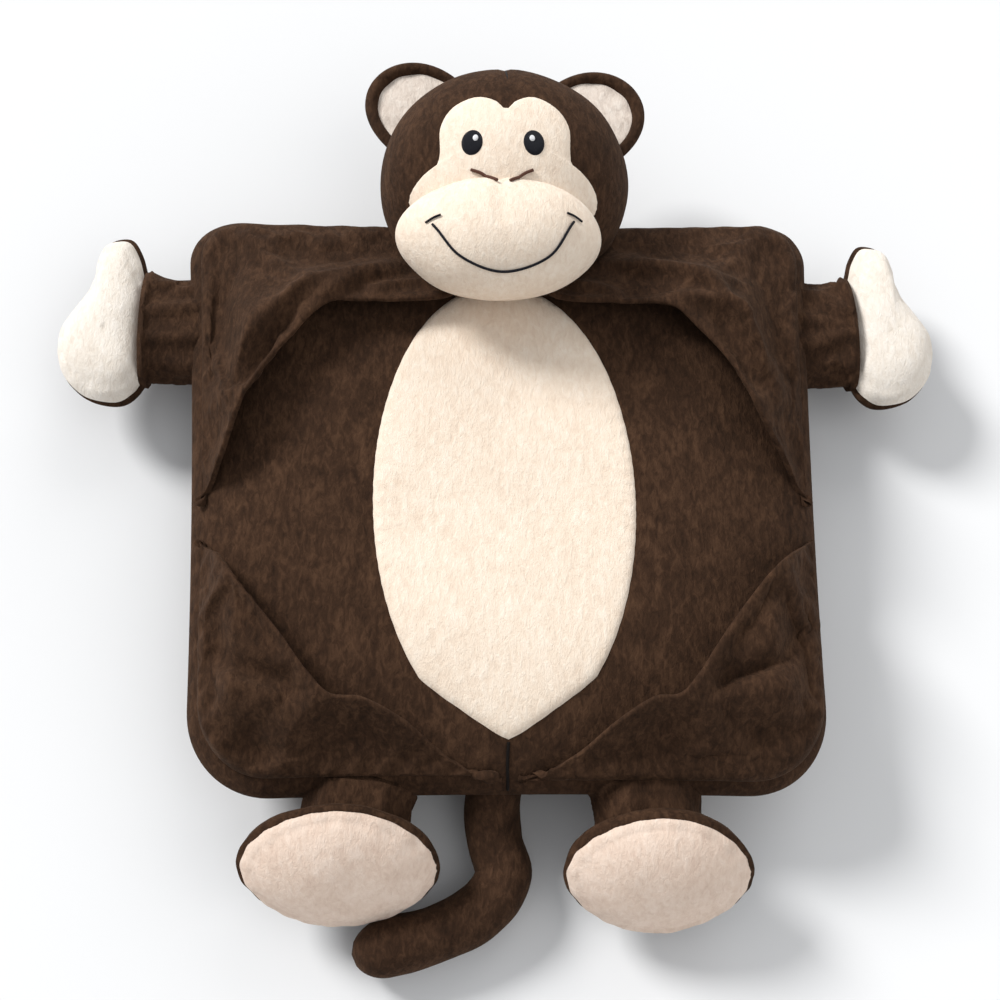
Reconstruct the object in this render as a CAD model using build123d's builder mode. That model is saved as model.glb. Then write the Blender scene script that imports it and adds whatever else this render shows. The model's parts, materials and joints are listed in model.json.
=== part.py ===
"""Plush monkey tablet pillow: a flat square pillow body with four corner flaps that hold a
tablet, a ball head, two mitten arms, two feet and one curled tail. Millimetres.

It lies on its back. +Z is up, out of the front; +Y runs towards the head; +X is the viewer's
right. The origin is the centre of the pillow's back face.
"""
from build123d import *
import os

os.makedirs("parts", exist_ok=True)

# ---- driving dimensions -------------------------------------------------------------------
PILLOW_W = 304.0        # across the side seams
PILLOW_H = 296.0        # bottom seam to top seam
SEAM_Z = 37.0           # height of the perimeter seam above the table
CORNER_R = 46.0         # the pillow's rounded corners in plan
CLOTH = 2.0             # plush with its pile
FRONT_Z = 64.0          # the flat of the front, where the tablet lies
FLAT_W, FLAT_H = 236.0, 182.0
FLAT_AT = (-4.0, -14.0)  # the tablet's centre, a little below the pillow's

TABLET_W, TABLET_H = 241.2, 185.7   # the tablet the pocket is made for
TABLET_LEFT = FLAT_AT[0] - TABLET_W / 2
TABLET_RIGHT = FLAT_AT[0] + TABLET_W / 2
TABLET_TOP = FLAT_AT[1] + TABLET_H / 2
TABLET_BOTTOM = FLAT_AT[1] - TABLET_H / 2
POCKET_Z = 75.2         # underside of the flaps
FLAP_Z = 78.2           # outside of the flaps
LIP_DEPTH = 24.0        # free edge of a flap to the line it folds up along
LIP_GAP = 2.0           # round a lip's ends
FOLD_GAP = 3.0          # along a lip's fold line

BELLY_R = (62.0, 113.0)
BELLY_AT = (-2.0, -13.0)

HEAD_AT = (0.5, 153.0, 66.0)
HEAD_R = (62.0, 60.0, 50.0)         # a ball pressed a little flat, front to back
MUZZLE_AT = (-4.0, 104.0, 96.0)
MUZZLE_R = (48.0, 30.0, 25.0)
HEAD_CLEAR = 1.5        # between the head and the pillow it rests on

EAR_FROM_HEAD = 62.6    # head centre to the line an ear folds along
EAR_DEPTH, EAR_HALF_W, EAR_HALF_T = 31.0, 26.0, 4.5
EAR_Z = 61.0
EAR_ANGLE_LEFT, EAR_ANGLE_RIGHT = 131.0, 44.0

ARM_ROOT_X = PILLOW_W / 2 + 0.9
CUFF_X = 176.0
ARM_Y, ARM_Z = 89.0, 30.0
SLEEVE_HALF = (29.0, 14.5)
HAND_HALF_T = 15.0

FOOT_R = (42.5, 31.0, 20.0)
FOOT_LEFT_AT = (-76.0, -174.5, 37.0)
FOOT_RIGHT_AT = (65.0, -179.0, 36.0)
SOLE_TILT = 45.0
LEG_HALF = (25.0, 16.0)
LEG_ROOT_Y = -PILLOW_H / 2 - 0.9
LEG_Z = 28.0
LEG_LEFT_X, LEG_RIGHT_X = -68.0, 61.0

TAIL_R = 12.6
TAIL_PATH = (
    (-7.0, -163.0, 14.5),
    (-3.0, -179.0, 14.0),
    (-12.0, -192.0, 13.4),
    (-32.0, -203.0, 12.9),
    (-60.0, -209.0, 12.9),
)

THREAD = 0.8            # embroidery stands this far off the cloth
LEFT, RIGHT = -1, 1


# ---- shapes used by several pieces --------------------------------------------------------
def stack(sections):
    """A ruled solid through rounded rectangles: (height, width, depth, corner, centre)."""
    with BuildPart() as solid:
        for height, width, depth, corner, centre in sections:
            with BuildSketch(Plane.XY.offset(height)):
                with Locations(centre):
                    RectangleRounded(width, depth, corner)
        loft(ruled=True)
    return solid.part


def pillow_back(inset, top=SEAM_Z):
    """The lower half of the pillow, every face moved in by inset."""
    return stack((
        (inset, 262 - 2 * inset, 254 - 2 * inset, 36 - inset, (0, 0)),
        (14.0, 296 - 2 * inset, 288 - 2 * inset, 44 - inset, (0, 0)),
        (top, PILLOW_W - 2 * inset, PILLOW_H - 2 * inset, CORNER_R - inset, (0, 0)),
    ))


def pillow_front(inset, bottom=SEAM_Z):
    """The upper half of the pillow under the flaps, every face moved in by inset."""
    edge = 3.4 + inset
    return stack((
        (bottom, PILLOW_W - 2 * edge, PILLOW_H - 2 * edge, CORNER_R - edge, (0, 0)),
        (FRONT_Z - inset, FLAT_W - 2 * inset, FLAT_H - 2 * inset, 12.0, FLAT_AT),
    ))


def flap_layer(grow, height, edge):
    """The stretched outline the flaps follow, over the tablet's corners and down to the seam."""
    return stack((
        (SEAM_Z, PILLOW_W - 2 * edge, PILLOW_H - 2 * edge, CORNER_R - edge, (0, 0)),
        (height, TABLET_W + 2 * grow, TABLET_H + 2 * grow, 9.0, FLAT_AT),
    ))


def top_edge(grow):
    """The pillow and its flaps along the top edge, grown all round, to keep the head clear."""
    half_h = PILLOW_H / 2
    profile = (
        (0, -grow), (127 + grow, -grow), (144 + grow, 14), (half_h + grow, SEAM_Z - 2),
        (half_h + grow, SEAM_Z + grow), (TABLET_TOP + 3 + grow, FLAP_Z + grow), (0, FLAP_Z + grow),
    )
    with BuildPart() as solid:
        with BuildSketch(Plane.YZ):
            with BuildLine():
                Polyline(*profile, close=True)
            make_face()
        extrude(amount=90, both=True)
    return solid.part


def ellipsoid(centre, radii, grow=0.0):
    size = tuple(r + grow for r in radii)
    return Pos(*centre) * scale(Sphere(1, mode=Mode.PRIVATE), by=size, mode=Mode.PRIVATE)


def head_ball(grow=0.0):
    return ellipsoid(HEAD_AT, HEAD_R, grow)


def muzzle_ball(grow=0.0):
    return ellipsoid(MUZZLE_AT, MUZZLE_R, grow)


def prism(outline, low, high):
    """Everything between two heights inside a smooth closed outline."""
    with BuildPart() as solid:
        with BuildSketch(Plane.XY.offset(low)):
            with BuildLine():
                Spline(*outline, periodic=True)
            make_face()
        extrude(amount=high - low)
    return solid.part


def polygon_prism(outline, low, high):
    with BuildPart() as solid:
        with BuildSketch(Plane.XY.offset(low)):
            with BuildLine():
                Polyline(*outline, close=True)
            make_face()
        extrude(amount=high - low)
    return solid.part


def oval_prism(radii, centre, low, high, turn=0.0):
    with BuildPart() as solid:
        with BuildSketch(Plane.XY.offset(low)):
            with Locations(centre):
                Ellipse(radii[0], radii[1], rotation=turn)
        extrude(amount=high - low)
    return solid.part


def soft_oval(half_w, half_h, half_t, soften):
    """An oval cushion with softened rims, centred on its own middle."""
    with BuildPart() as solid:
        with BuildSketch(Plane.XY.offset(-half_t)):
            Ellipse(half_w, half_h)
        extrude(amount=2 * half_t)
        fillet(solid.edges().filter_by(GeomType.LINE, reverse=True), soften)
    return solid.part


# ---- the pillow body ----------------------------------------------------------------------
with BuildPart() as back_panel:
    add(pillow_back(0.0))
    add(pillow_back(CLOTH, top=SEAM_Z + 0.01), mode=Mode.SUBTRACT)

with BuildPart() as pillow_insert:
    add(pillow_back(CLOTH + 0.2))
    add(pillow_front(CLOTH + 0.2))

front_shell = pillow_front(0.0) - pillow_front(CLOTH, bottom=SEAM_Z - 0.01)
belly_zone = oval_prism(BELLY_R, BELLY_AT, 30, 90)
half_zone = Box(
    400, 400, 100, align=(Align.MIN, Align.CENTER, Align.MIN), mode=Mode.PRIVATE)

with BuildPart() as belly_panel:
    add(front_shell)
    add(belly_zone, mode=Mode.INTERSECT)

with BuildPart() as front_right:
    add(front_shell)
    add(belly_zone, mode=Mode.SUBTRACT)
    add(Pos(BELLY_AT[0] + 0.1, 0, 0) * half_zone, mode=Mode.INTERSECT)

with BuildPart() as front_left:
    add(front_shell)
    add(belly_zone, mode=Mode.SUBTRACT)
    add(Pos(BELLY_AT[0] + 0.1, 0, 0) * half_zone, mode=Mode.SUBTRACT)


# ---- the four corner flaps and their free lips --------------------------------------------
# Where each flap's free edge crosses the tablet's side edge and its top or bottom edge.
CUT_TOP_LEFT = ((TABLET_LEFT, 26.0), (-81.0, TABLET_TOP))
CUT_TOP_RIGHT = ((TABLET_RIGHT, 25.0), (77.0, TABLET_TOP))
CUT_BOTTOM_LEFT = ((TABLET_LEFT, -53.0), (-81.0, TABLET_BOTTOM))
CUT_BOTTOM_RIGHT = ((TABLET_RIGHT, -53.0), (73.0, TABLET_BOTTOM))


def flap_outline(cut, x_side, y_side, side_y, inner):
    """Plan outline of a flap: its free edge, then out round the pillow's corner."""
    (side_x, cut_y), (cut_x, end_y) = cut
    outline = [
        (x_side * 170, side_y),
        (x_side * 141 + FLAT_AT[0] / 2, side_y),
        (side_x, cut_y),
        (cut_x, end_y),
    ]
    outline += inner
    outline += [(inner[-1][0], y_side * 170), (x_side * 170, y_side * 170)]
    return outline


def lip_corners(cut, corner, start, depth, gap):
    """Plan of a lip from its free edge back to the fold line, narrowing with the tablet's corner."""
    a = Vector(cut[0][0], cut[0][1])
    b = Vector(cut[1][0], cut[1][1])
    c = Vector(corner[0], corner[1])
    along = (b - a).normalized()
    out = c - a - along * (c - a).dot(along)
    reach = out.length
    out = out.normalized()
    foot = a + along * (c - a).dot(along)
    points = []
    for distance, sign in ((start, -1), (start, 1), (depth, 1), (depth, -1)):
        full = (b - foot).length if sign > 0 else (a - foot).length
        half = max(full * (1 - distance / reach) - gap, 1.0)
        spot = foot + along * (sign * half) + out * distance
        points.append((spot.X, spot.Y))
    return points


def flap(outline, cut, corner):
    """The sewn part of a flap, open where its lip folds up."""
    shell = flap_layer(3.0, FLAP_Z, 0.0) - flap_layer(0.9, POCKET_Z, 3.0)
    piece = shell & polygon_prism(outline, SEAM_Z - 1, FLAP_Z + 5)
    hole = lip_corners(cut, corner, -1.0, LIP_DEPTH + FOLD_GAP, 0.0)
    return piece - polygon_prism(hole, POCKET_Z - 2, FLAP_Z + 5)


def lip(cut, corner):
    return polygon_prism(lip_corners(cut, corner, 0.0, LIP_DEPTH, LIP_GAP), POCKET_Z, FLAP_Z)


TOP_INNER_LEFT = [(-24.0, 88.0), (-12.0, 92.0)]
TOP_INNER_RIGHT = [(24.0, 88.0), (12.0, 92.0)]
BOTTOM_INNER_LEFT = [(-66.0, -111.0), (-37.0, -128.0), (-13.0, -142.0), (-4.0, -149.0)]
BOTTOM_INNER_RIGHT = [(58.0, -111.0), (31.0, -128.0), (7.0, -142.0), (-1.0, -149.0)]
CORNER_TOP_LEFT = (TABLET_LEFT, TABLET_TOP)
CORNER_TOP_RIGHT = (TABLET_RIGHT, TABLET_TOP)
CORNER_BOTTOM_LEFT = (TABLET_LEFT, TABLET_BOTTOM)
CORNER_BOTTOM_RIGHT = (TABLET_RIGHT, TABLET_BOTTOM)

with BuildPart() as flap_top_left:
    add(flap(flap_outline(CUT_TOP_LEFT, LEFT, 1, -11.0, TOP_INNER_LEFT),
             CUT_TOP_LEFT, CORNER_TOP_LEFT))

with BuildPart() as flap_top_right:
    add(flap(flap_outline(CUT_TOP_RIGHT, RIGHT, 1, -11.0, TOP_INNER_RIGHT),
             CUT_TOP_RIGHT, CORNER_TOP_RIGHT))

with BuildPart() as flap_bottom_left:
    add(flap(flap_outline(CUT_BOTTOM_LEFT, LEFT, -1, -33.0, BOTTOM_INNER_LEFT),
             CUT_BOTTOM_LEFT, CORNER_BOTTOM_LEFT))

with BuildPart() as flap_bottom_right:
    add(flap(flap_outline(CUT_BOTTOM_RIGHT, RIGHT, -1, -33.0, BOTTOM_INNER_RIGHT),
             CUT_BOTTOM_RIGHT, CORNER_BOTTOM_RIGHT))

with BuildPart() as lip_top_left:
    add(lip(CUT_TOP_LEFT, CORNER_TOP_LEFT))

with BuildPart() as lip_top_right:
    add(lip(CUT_TOP_RIGHT, CORNER_TOP_RIGHT))

with BuildPart() as lip_bottom_left:
    add(lip(CUT_BOTTOM_LEFT, CORNER_BOTTOM_LEFT))

with BuildPart() as lip_bottom_right:
    add(lip(CUT_BOTTOM_RIGHT, CORNER_BOTTOM_RIGHT))


# ---- the head and face --------------------------------------------------------------------
with BuildPart() as head_cover:
    add(head_ball() - top_edge(HEAD_CLEAR)
        - (head_ball(-CLOTH) - top_edge(HEAD_CLEAR + CLOTH)))

with BuildPart() as head_stuffing:
    add(head_ball(-CLOTH - 0.2) - top_edge(HEAD_CLEAR + CLOTH + 0.2))

FACE_OUTLINE = (
    (-34.5, 142.0), (-31.0, 161.0), (-15.0, 173.5), (-4.5, 172.5), (1.5, 166.5),
    (7.5, 173.0), (17.0, 174.0), (29.0, 162.0), (30.0, 142.0), (18.0, 124.0),
    (-3.0, 120.0), (-24.0, 124.0),
)

with BuildPart() as face_patch:
    add((prism(FACE_OUTLINE, 80, 130) & head_ball(1.3)) - head_ball(0.1) - muzzle_ball(0.1))

with BuildPart() as muzzle_cover:
    add((muzzle_ball() - muzzle_ball(-CLOTH)) - head_ball(0.1) - top_edge(HEAD_CLEAR))

with BuildPart() as muzzle_stuffing:
    add(muzzle_ball(-CLOTH - 0.2) - head_ball(0.1) - top_edge(HEAD_CLEAR))


def eye(x, y):
    spot = oval_prism((5.2, 6.4), (x, y), 90, 130)
    return (spot & head_ball(1.4 + THREAD)) - head_ball(1.4)


def highlight(x, y):
    spot = oval_prism((1.3, 1.6), (x, y), 90, 130)
    return (spot & head_ball(2.1 + THREAD)) - head_ball(1.5 + THREAD)


def muzzle_stitch(start, middle, end, width):
    """A line of satin stitch lying on the muzzle."""
    with BuildPart() as band:
        with BuildSketch(Plane.XY.offset(96)):
            with BuildLine():
                ThreePointArc(start, middle, end)
            trace(line_width=width)
        extrude(amount=40)
    return (band.part & muzzle_ball(0.1 + THREAD)) - muzzle_ball(0.1) - head_ball(1.4)


with BuildPart() as eye_left:
    add(eye(-16.8, 146.0))

with BuildPart() as eye_right:
    add(eye(11.7, 145.5))

with BuildPart() as eye_light_left:
    add(highlight(-14.6, 148.6))

with BuildPart() as eye_light_right:
    add(highlight(9.8, 148.2))

with BuildPart() as smile_stitch:
    add(muzzle_stitch((-35.5, 99.5), (-3.0, 79.0), (29.0, 102.0), 1.5))

with BuildPart() as cheek_tick_left:
    add(muzzle_stitch((-39.0, 100.5), (-36.0, 102.6), (-32.0, 104.2), 1.4))

with BuildPart() as cheek_tick_right:
    add(muzzle_stitch((32.0, 102.0), (29.0, 104.4), (25.5, 106.0), 1.4))

with BuildPart() as nostril_left:
    add(muzzle_stitch((-15.0, 126.5), (-11.0, 124.6), (-7.8, 121.5), 1.6))

with BuildPart() as nostril_right:
    add(muzzle_stitch((11.0, 126.5), (6.0, 124.6), (2.0, 121.5), 1.6))


# ---- the ears -----------------------------------------------------------------------------
def ear_frame(angle):
    """Origin on the fold line, +X away from the head."""
    spot = Vector(HEAD_AT[0], HEAD_AT[1]) + Vector(EAR_FROM_HEAD, 0).rotate(Axis.Z, angle)
    return Location((spot.X, spot.Y, EAR_Z), (0, 0, angle))


def outward(start=0.0):
    side = (Align.MIN, Align.CENTER, Align.CENTER)
    return Pos(start, 0, 0) * Box(100, 100, 60, align=side, mode=Mode.PRIVATE)


def ear_back(angle):
    plate = soft_oval(EAR_DEPTH, EAR_HALF_W, EAR_HALF_T, EAR_HALF_T - 0.4)
    return ear_frame(angle) * (plate & outward())


def ear_inner(angle):
    patch = oval_prism((EAR_DEPTH - 7, EAR_HALF_W - 7), (0, 0), EAR_HALF_T + 0.1, EAR_HALF_T + 1.2)
    return ear_frame(angle) * (patch & outward(2.0))


with BuildPart() as ear_back_left:
    add(ear_back(EAR_ANGLE_LEFT))

with BuildPart() as ear_back_right:
    add(ear_back(EAR_ANGLE_RIGHT))

with BuildPart() as ear_inner_left:
    add(ear_inner(EAR_ANGLE_LEFT))

with BuildPart() as ear_inner_right:
    add(ear_inner(EAR_ANGLE_RIGHT))


# ---- the arms -----------------------------------------------------------------------------
HAND_OUTLINE = (
    (CUFF_X + 0.4, 56.0), (CUFF_X + 0.4, 119.0), (184.0, 141.0), (203.0, 141.5), (206.0, 116.0),
    (222.0, 84.0), (217.0, 60.0), (203.0, 46.5), (184.0, 46.5),
)
HAND_ROUND = 7.5


def hand_block(side, inset, low, high, soften):
    """The mitten's outline, inset, between two heights, with its top or bottom rim softened."""
    with BuildPart() as block:
        with BuildSketch(Plane.XY.offset(low)) as outline:
            with BuildLine():
                Polyline(*[(side * x, y) for x, y in HAND_OUTLINE], close=True)
            make_face()
            fillet(outline.vertices(), HAND_ROUND)
            if inset:
                offset(amount=-inset, mode=Mode.REPLACE)
        extrude(amount=high - low)
        if soften == "top":
            fillet(block.faces().sort_by(Axis.Z)[-1].edges(), 6.0)
        if soften == "bottom":
            fillet(block.faces().sort_by(Axis.Z)[0].edges(), 6.0)
    return block.part


def sleeve_block(side, inset, start, end):
    """The sleeve, an oval tube from the pillow's side seam out to the cuff."""
    with BuildPart() as block:
        with BuildSketch(Plane(origin=(side * start, ARM_Y, ARM_Z), x_dir=(0, 1, 0),
                               z_dir=(side, 0, 0))):
            Ellipse(SLEEVE_HALF[0] - inset, SLEEVE_HALF[1] - inset)
        extrude(amount=end - start)
    return block.part


def palm(side):
    outer = hand_block(side, 0.0, ARM_Z + 0.1, ARM_Z + HAND_HALF_T, "top")
    return outer - hand_block(side, CLOTH, ARM_Z, ARM_Z + HAND_HALF_T - CLOTH, "")


def hand_back(side):
    outer = hand_block(side, 0.0, ARM_Z - HAND_HALF_T, ARM_Z, "bottom")
    return outer - hand_block(side, CLOTH, ARM_Z - HAND_HALF_T + CLOTH, ARM_Z + 1, "")


def sleeve(side):
    outer = sleeve_block(side, 0.0, ARM_ROOT_X, CUFF_X)
    return outer - sleeve_block(side, CLOTH, ARM_ROOT_X + CLOTH, CUFF_X + 1)


def arm_stuffing(side):
    return sleeve_block(side, CLOTH + 0.2, ARM_ROOT_X + CLOTH + 0.2, CUFF_X)


def hand_stuffing(side):
    fill = HAND_HALF_T - CLOTH - 0.2
    return hand_block(side, CLOTH + 0.2, ARM_Z - fill, ARM_Z + fill, "")


with BuildPart() as sleeve_left:
    add(sleeve(LEFT))

with BuildPart() as sleeve_right:
    add(sleeve(RIGHT))

with BuildPart() as palm_left:
    add(palm(LEFT))

with BuildPart() as palm_right:
    add(palm(RIGHT))

with BuildPart() as hand_back_left:
    add(hand_back(LEFT))

with BuildPart() as hand_back_right:
    add(hand_back(RIGHT))

with BuildPart() as arm_stuffing_left:
    add(arm_stuffing(LEFT))

with BuildPart() as arm_stuffing_right:
    add(arm_stuffing(RIGHT))

with BuildPart() as hand_stuffing_left:
    add(hand_stuffing(LEFT))

with BuildPart() as hand_stuffing_right:
    add(hand_stuffing(RIGHT))


# ---- the feet -----------------------------------------------------------------------------
def foot_oval(centre, inset=0.0):
    """The foot, an oval cushion whose flatter side, the sole, faces out and up."""
    return Location(centre, (SOLE_TILT, 0, 0)) * ellipsoid((0, 0, 0), FOOT_R, -inset)


def sole_side(centre):
    above = (Align.CENTER, Align.CENTER, Align.MIN)
    box = Pos(0, 0, 6) * Box(120, 120, 60, align=above, mode=Mode.PRIVATE)
    return Location(centre, (SOLE_TILT, 0, 0)) * box


def leg(x, inset, start, end):
    with BuildPart() as block:
        with BuildSketch(Plane(origin=(x, start, LEG_Z), x_dir=(1, 0, 0), z_dir=(0, -1, 0))):
            Ellipse(LEG_HALF[0] - inset, LEG_HALF[1] - inset)
        extrude(amount=start - end)
    return block.part


def foot_cover(centre, x):
    outer = foot_oval(centre) + leg(x, 0.0, LEG_ROOT_Y, centre[1])
    inner = foot_oval(centre, CLOTH) + leg(x, CLOTH, LEG_ROOT_Y - CLOTH, centre[1])
    return outer - inner


def foot_stuffing(centre, x):
    gap = CLOTH + 0.2
    return foot_oval(centre, gap) + leg(x, gap, LEG_ROOT_Y - gap, centre[1])


with BuildPart() as foot_left:
    add(foot_cover(FOOT_LEFT_AT, LEG_LEFT_X) - sole_side(FOOT_LEFT_AT))

with BuildPart() as foot_right:
    add(foot_cover(FOOT_RIGHT_AT, LEG_RIGHT_X) - sole_side(FOOT_RIGHT_AT))

with BuildPart() as sole_left:
    add(foot_cover(FOOT_LEFT_AT, LEG_LEFT_X) & sole_side(FOOT_LEFT_AT))

with BuildPart() as sole_right:
    add(foot_cover(FOOT_RIGHT_AT, LEG_RIGHT_X) & sole_side(FOOT_RIGHT_AT))

with BuildPart() as foot_stuffing_left:
    add(foot_stuffing(FOOT_LEFT_AT, LEG_LEFT_X))

with BuildPart() as foot_stuffing_right:
    add(foot_stuffing(FOOT_RIGHT_AT, LEG_RIGHT_X))


# ---- the tail -----------------------------------------------------------------------------
def tail_solid(radius):
    """A round tail along its curl, with ball ends."""
    with BuildPart() as solid:
        with BuildLine():
            curl = Spline(*TAIL_PATH)
        with BuildSketch(Plane(origin=curl @ 0, z_dir=curl % 0)):
            Circle(radius)
        sweep()
        with Locations(TAIL_PATH[0], TAIL_PATH[-1]):
            Sphere(radius)
    return solid.part


with BuildPart() as tail_cover:
    add(tail_solid(TAIL_R))
    add(tail_solid(TAIL_R - CLOTH), mode=Mode.SUBTRACT)

with BuildPart() as tail_stuffing:
    add(tail_solid(TAIL_R - CLOTH - 0.2))


# ---- labels and files ---------------------------------------------------------------------
PIECES = {
    "back_panel": back_panel,
    "front_left": front_left,
    "front_right": front_right,
    "belly_panel": belly_panel,
    "pillow_insert": pillow_insert,
    "flap_top_left": flap_top_left,
    "flap_top_right": flap_top_right,
    "flap_bottom_left": flap_bottom_left,
    "flap_bottom_right": flap_bottom_right,
    "lip_top_left": lip_top_left,
    "lip_top_right": lip_top_right,
    "lip_bottom_left": lip_bottom_left,
    "lip_bottom_right": lip_bottom_right,
    "head_cover": head_cover,
    "head_stuffing": head_stuffing,
    "face_patch": face_patch,
    "muzzle_cover": muzzle_cover,
    "muzzle_stuffing": muzzle_stuffing,
    "eye_left": eye_left,
    "eye_right": eye_right,
    "eye_light_left": eye_light_left,
    "eye_light_right": eye_light_right,
    "smile_stitch": smile_stitch,
    "cheek_tick_left": cheek_tick_left,
    "cheek_tick_right": cheek_tick_right,
    "nostril_left": nostril_left,
    "nostril_right": nostril_right,
    "ear_back_left": ear_back_left,
    "ear_back_right": ear_back_right,
    "ear_inner_left": ear_inner_left,
    "ear_inner_right": ear_inner_right,
    "sleeve_left": sleeve_left,
    "sleeve_right": sleeve_right,
    "palm_left": palm_left,
    "palm_right": palm_right,
    "hand_back_left": hand_back_left,
    "hand_back_right": hand_back_right,
    "arm_stuffing_left": arm_stuffing_left,
    "arm_stuffing_right": arm_stuffing_right,
    "hand_stuffing_left": hand_stuffing_left,
    "hand_stuffing_right": hand_stuffing_right,
    "foot_left": foot_left,
    "foot_right": foot_right,
    "sole_left": sole_left,
    "sole_right": sole_right,
    "foot_stuffing_left": foot_stuffing_left,
    "foot_stuffing_right": foot_stuffing_right,
    "tail_cover": tail_cover,
    "tail_stuffing": tail_stuffing,
}

for label, piece in PIECES.items():
    piece.part.label = label
    export_step(piece.part, f"parts/{label}.step")
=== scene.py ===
"""Looks of the plush monkey tablet pillow, in metres, in the CAD's own frame."""
import json
import math

import bmesh
import bpy
import numpy as np
from mathutils import Matrix, Vector, noise


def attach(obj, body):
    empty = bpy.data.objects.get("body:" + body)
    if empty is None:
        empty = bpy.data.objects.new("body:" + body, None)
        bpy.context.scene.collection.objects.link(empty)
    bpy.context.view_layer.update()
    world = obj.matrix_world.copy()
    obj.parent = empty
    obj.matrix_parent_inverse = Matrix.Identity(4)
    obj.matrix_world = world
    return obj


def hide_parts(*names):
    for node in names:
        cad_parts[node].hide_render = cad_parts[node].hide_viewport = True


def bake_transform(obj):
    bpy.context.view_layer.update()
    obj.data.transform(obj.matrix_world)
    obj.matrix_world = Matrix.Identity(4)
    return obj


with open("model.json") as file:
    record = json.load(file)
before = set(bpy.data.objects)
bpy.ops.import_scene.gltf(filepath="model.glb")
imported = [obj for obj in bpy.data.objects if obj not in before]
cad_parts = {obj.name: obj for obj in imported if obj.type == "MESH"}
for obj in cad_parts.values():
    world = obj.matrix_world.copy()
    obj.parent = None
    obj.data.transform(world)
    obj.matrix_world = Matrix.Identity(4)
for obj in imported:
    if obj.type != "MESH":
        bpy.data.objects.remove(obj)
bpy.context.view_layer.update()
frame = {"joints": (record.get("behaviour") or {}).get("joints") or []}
MM = 0.001

# ---- sizes, in millimetres ----------------------------------------------------------------
PILLOW_HALF = (153.0, 148.0)
CORNERS = (25.0, 40.0)      # radius at the shoulders and at the hips
SEAM_Z, FRONT_Z = 37.0, 65.0
TABLET_AT = (-4.0, -14.0)
TABLET_HALF = (120.6, 92.85)
FLAP_Z = 78.0
BELLY_AT, BELLY_R = (-2.0, -13.0), (62.0, 113.0)
HEAD_AT, HEAD_R = np.array([0.5, 153.0, 66.0]), np.array([62.0, 60.0, 50.0])
MUZZLE_AT, MUZZLE_R = np.array([-4.0, 104.0, 96.0]), np.array([48.0, 30.0, 25.0])


# ---- materials ----------------------------------------------------------------------------
def rgb(r, g, b):
    """A display colour from 0 to 255 as linear values."""
    return tuple(((c / 255 + 0.055) / 1.055) ** 2.4 if c > 10 else c / 3294.6 for c in (r, g, b)) + (1.0,)


def new_material(name):
    """An empty node material, with its nodes and links."""
    mat = bpy.data.materials.new(name)
    mat.use_nodes = True
    mat.node_tree.nodes.clear()
    return mat, mat.node_tree.nodes, mat.node_tree.links


def plush(name, dark, mid, light, pile_shade, sheen=0.15, sheen_tint=(1, 1, 1, 1)):
    """Short pile: light and dark patches painted into the colour, painted sheen and painted shade where the
    pile is brushed each way, then fine streaks, and a soft sheen.
    """
    mat, nodes, links = new_material(name)
    out = nodes.new("ShaderNodeOutputMaterial")
    bsdf = nodes.new("ShaderNodeBsdfPrincipled")
    links.new(bsdf.outputs["BSDF"], out.inputs["Surface"])
    coord = nodes.new("ShaderNodeTexCoord")

    def wave(scale, detail, stretch, distortion):
        mapping = nodes.new("ShaderNodeMapping")
        mapping.inputs["Scale"].default_value = stretch
        links.new(coord.outputs["Object"], mapping.inputs["Vector"])
        tex = nodes.new("ShaderNodeTexNoise")
        tex.inputs["Scale"].default_value = scale
        tex.inputs["Detail"].default_value = detail
        tex.inputs["Roughness"].default_value = 0.62
        tex.inputs["Distortion"].default_value = distortion
        links.new(mapping.outputs["Vector"], tex.inputs["Vector"])
        return tex.outputs["Fac"]

    # painted sheen and painted shade: broad light and dark patches of brushed pile, mixed into the base
    # colour
    painted_sheen_patches = wave(55, 3, (1.0, 0.7, 1.0), 1.4)
    streaks = wave(420, 4, (1.0, 0.42, 0.8), 0.6)
    fibres = wave(1500, 3, (1.0, 0.5, 1.0), 0.3)

    blend = nodes.new("ShaderNodeMath")
    blend.operation = "MULTIPLY_ADD"
    links.new(painted_sheen_patches, blend.inputs[0])
    blend.inputs[1].default_value = pile_shade
    links.new(streaks, blend.inputs[2])
    spread = nodes.new("ShaderNodeMapRange")
    spread.inputs["From Min"].default_value = 0.45 + 0.5 * pile_shade - 0.28
    spread.inputs["From Max"].default_value = 0.55 + 0.5 * pile_shade + 0.22
    links.new(blend.outputs[0], spread.inputs["Value"])
    ramp = nodes.new("ShaderNodeValToRGB")
    ramp.color_ramp.elements[0].position = 0.0
    ramp.color_ramp.elements[0].color = dark
    ramp.color_ramp.elements[1].position = 1.0
    ramp.color_ramp.elements[1].color = light
    middle = ramp.color_ramp.elements.new(0.5)
    middle.color = mid
    links.new(spread.outputs["Result"], ramp.inputs["Fac"])
    links.new(ramp.outputs["Color"], bsdf.inputs["Base Color"])

    height = nodes.new("ShaderNodeMath")
    height.operation = "MULTIPLY_ADD"
    links.new(fibres, height.inputs[0])
    height.inputs[1].default_value = 0.5
    links.new(streaks, height.inputs[2])
    bump = nodes.new("ShaderNodeBump")
    bump.inputs["Strength"].default_value = 0.55
    bump.inputs["Distance"].default_value = 0.0012
    links.new(height.outputs[0], bump.inputs["Height"])
    links.new(bump.outputs["Normal"], bsdf.inputs["Normal"])
    bsdf.inputs["Roughness"].default_value = 0.95
    bsdf.inputs["Specular IOR Level"].default_value = 0.12
    bsdf.inputs["Sheen Weight"].default_value = sheen
    bsdf.inputs["Sheen Roughness"].default_value = 0.38
    bsdf.inputs["Sheen Tint"].default_value = sheen_tint
    return mat


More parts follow.
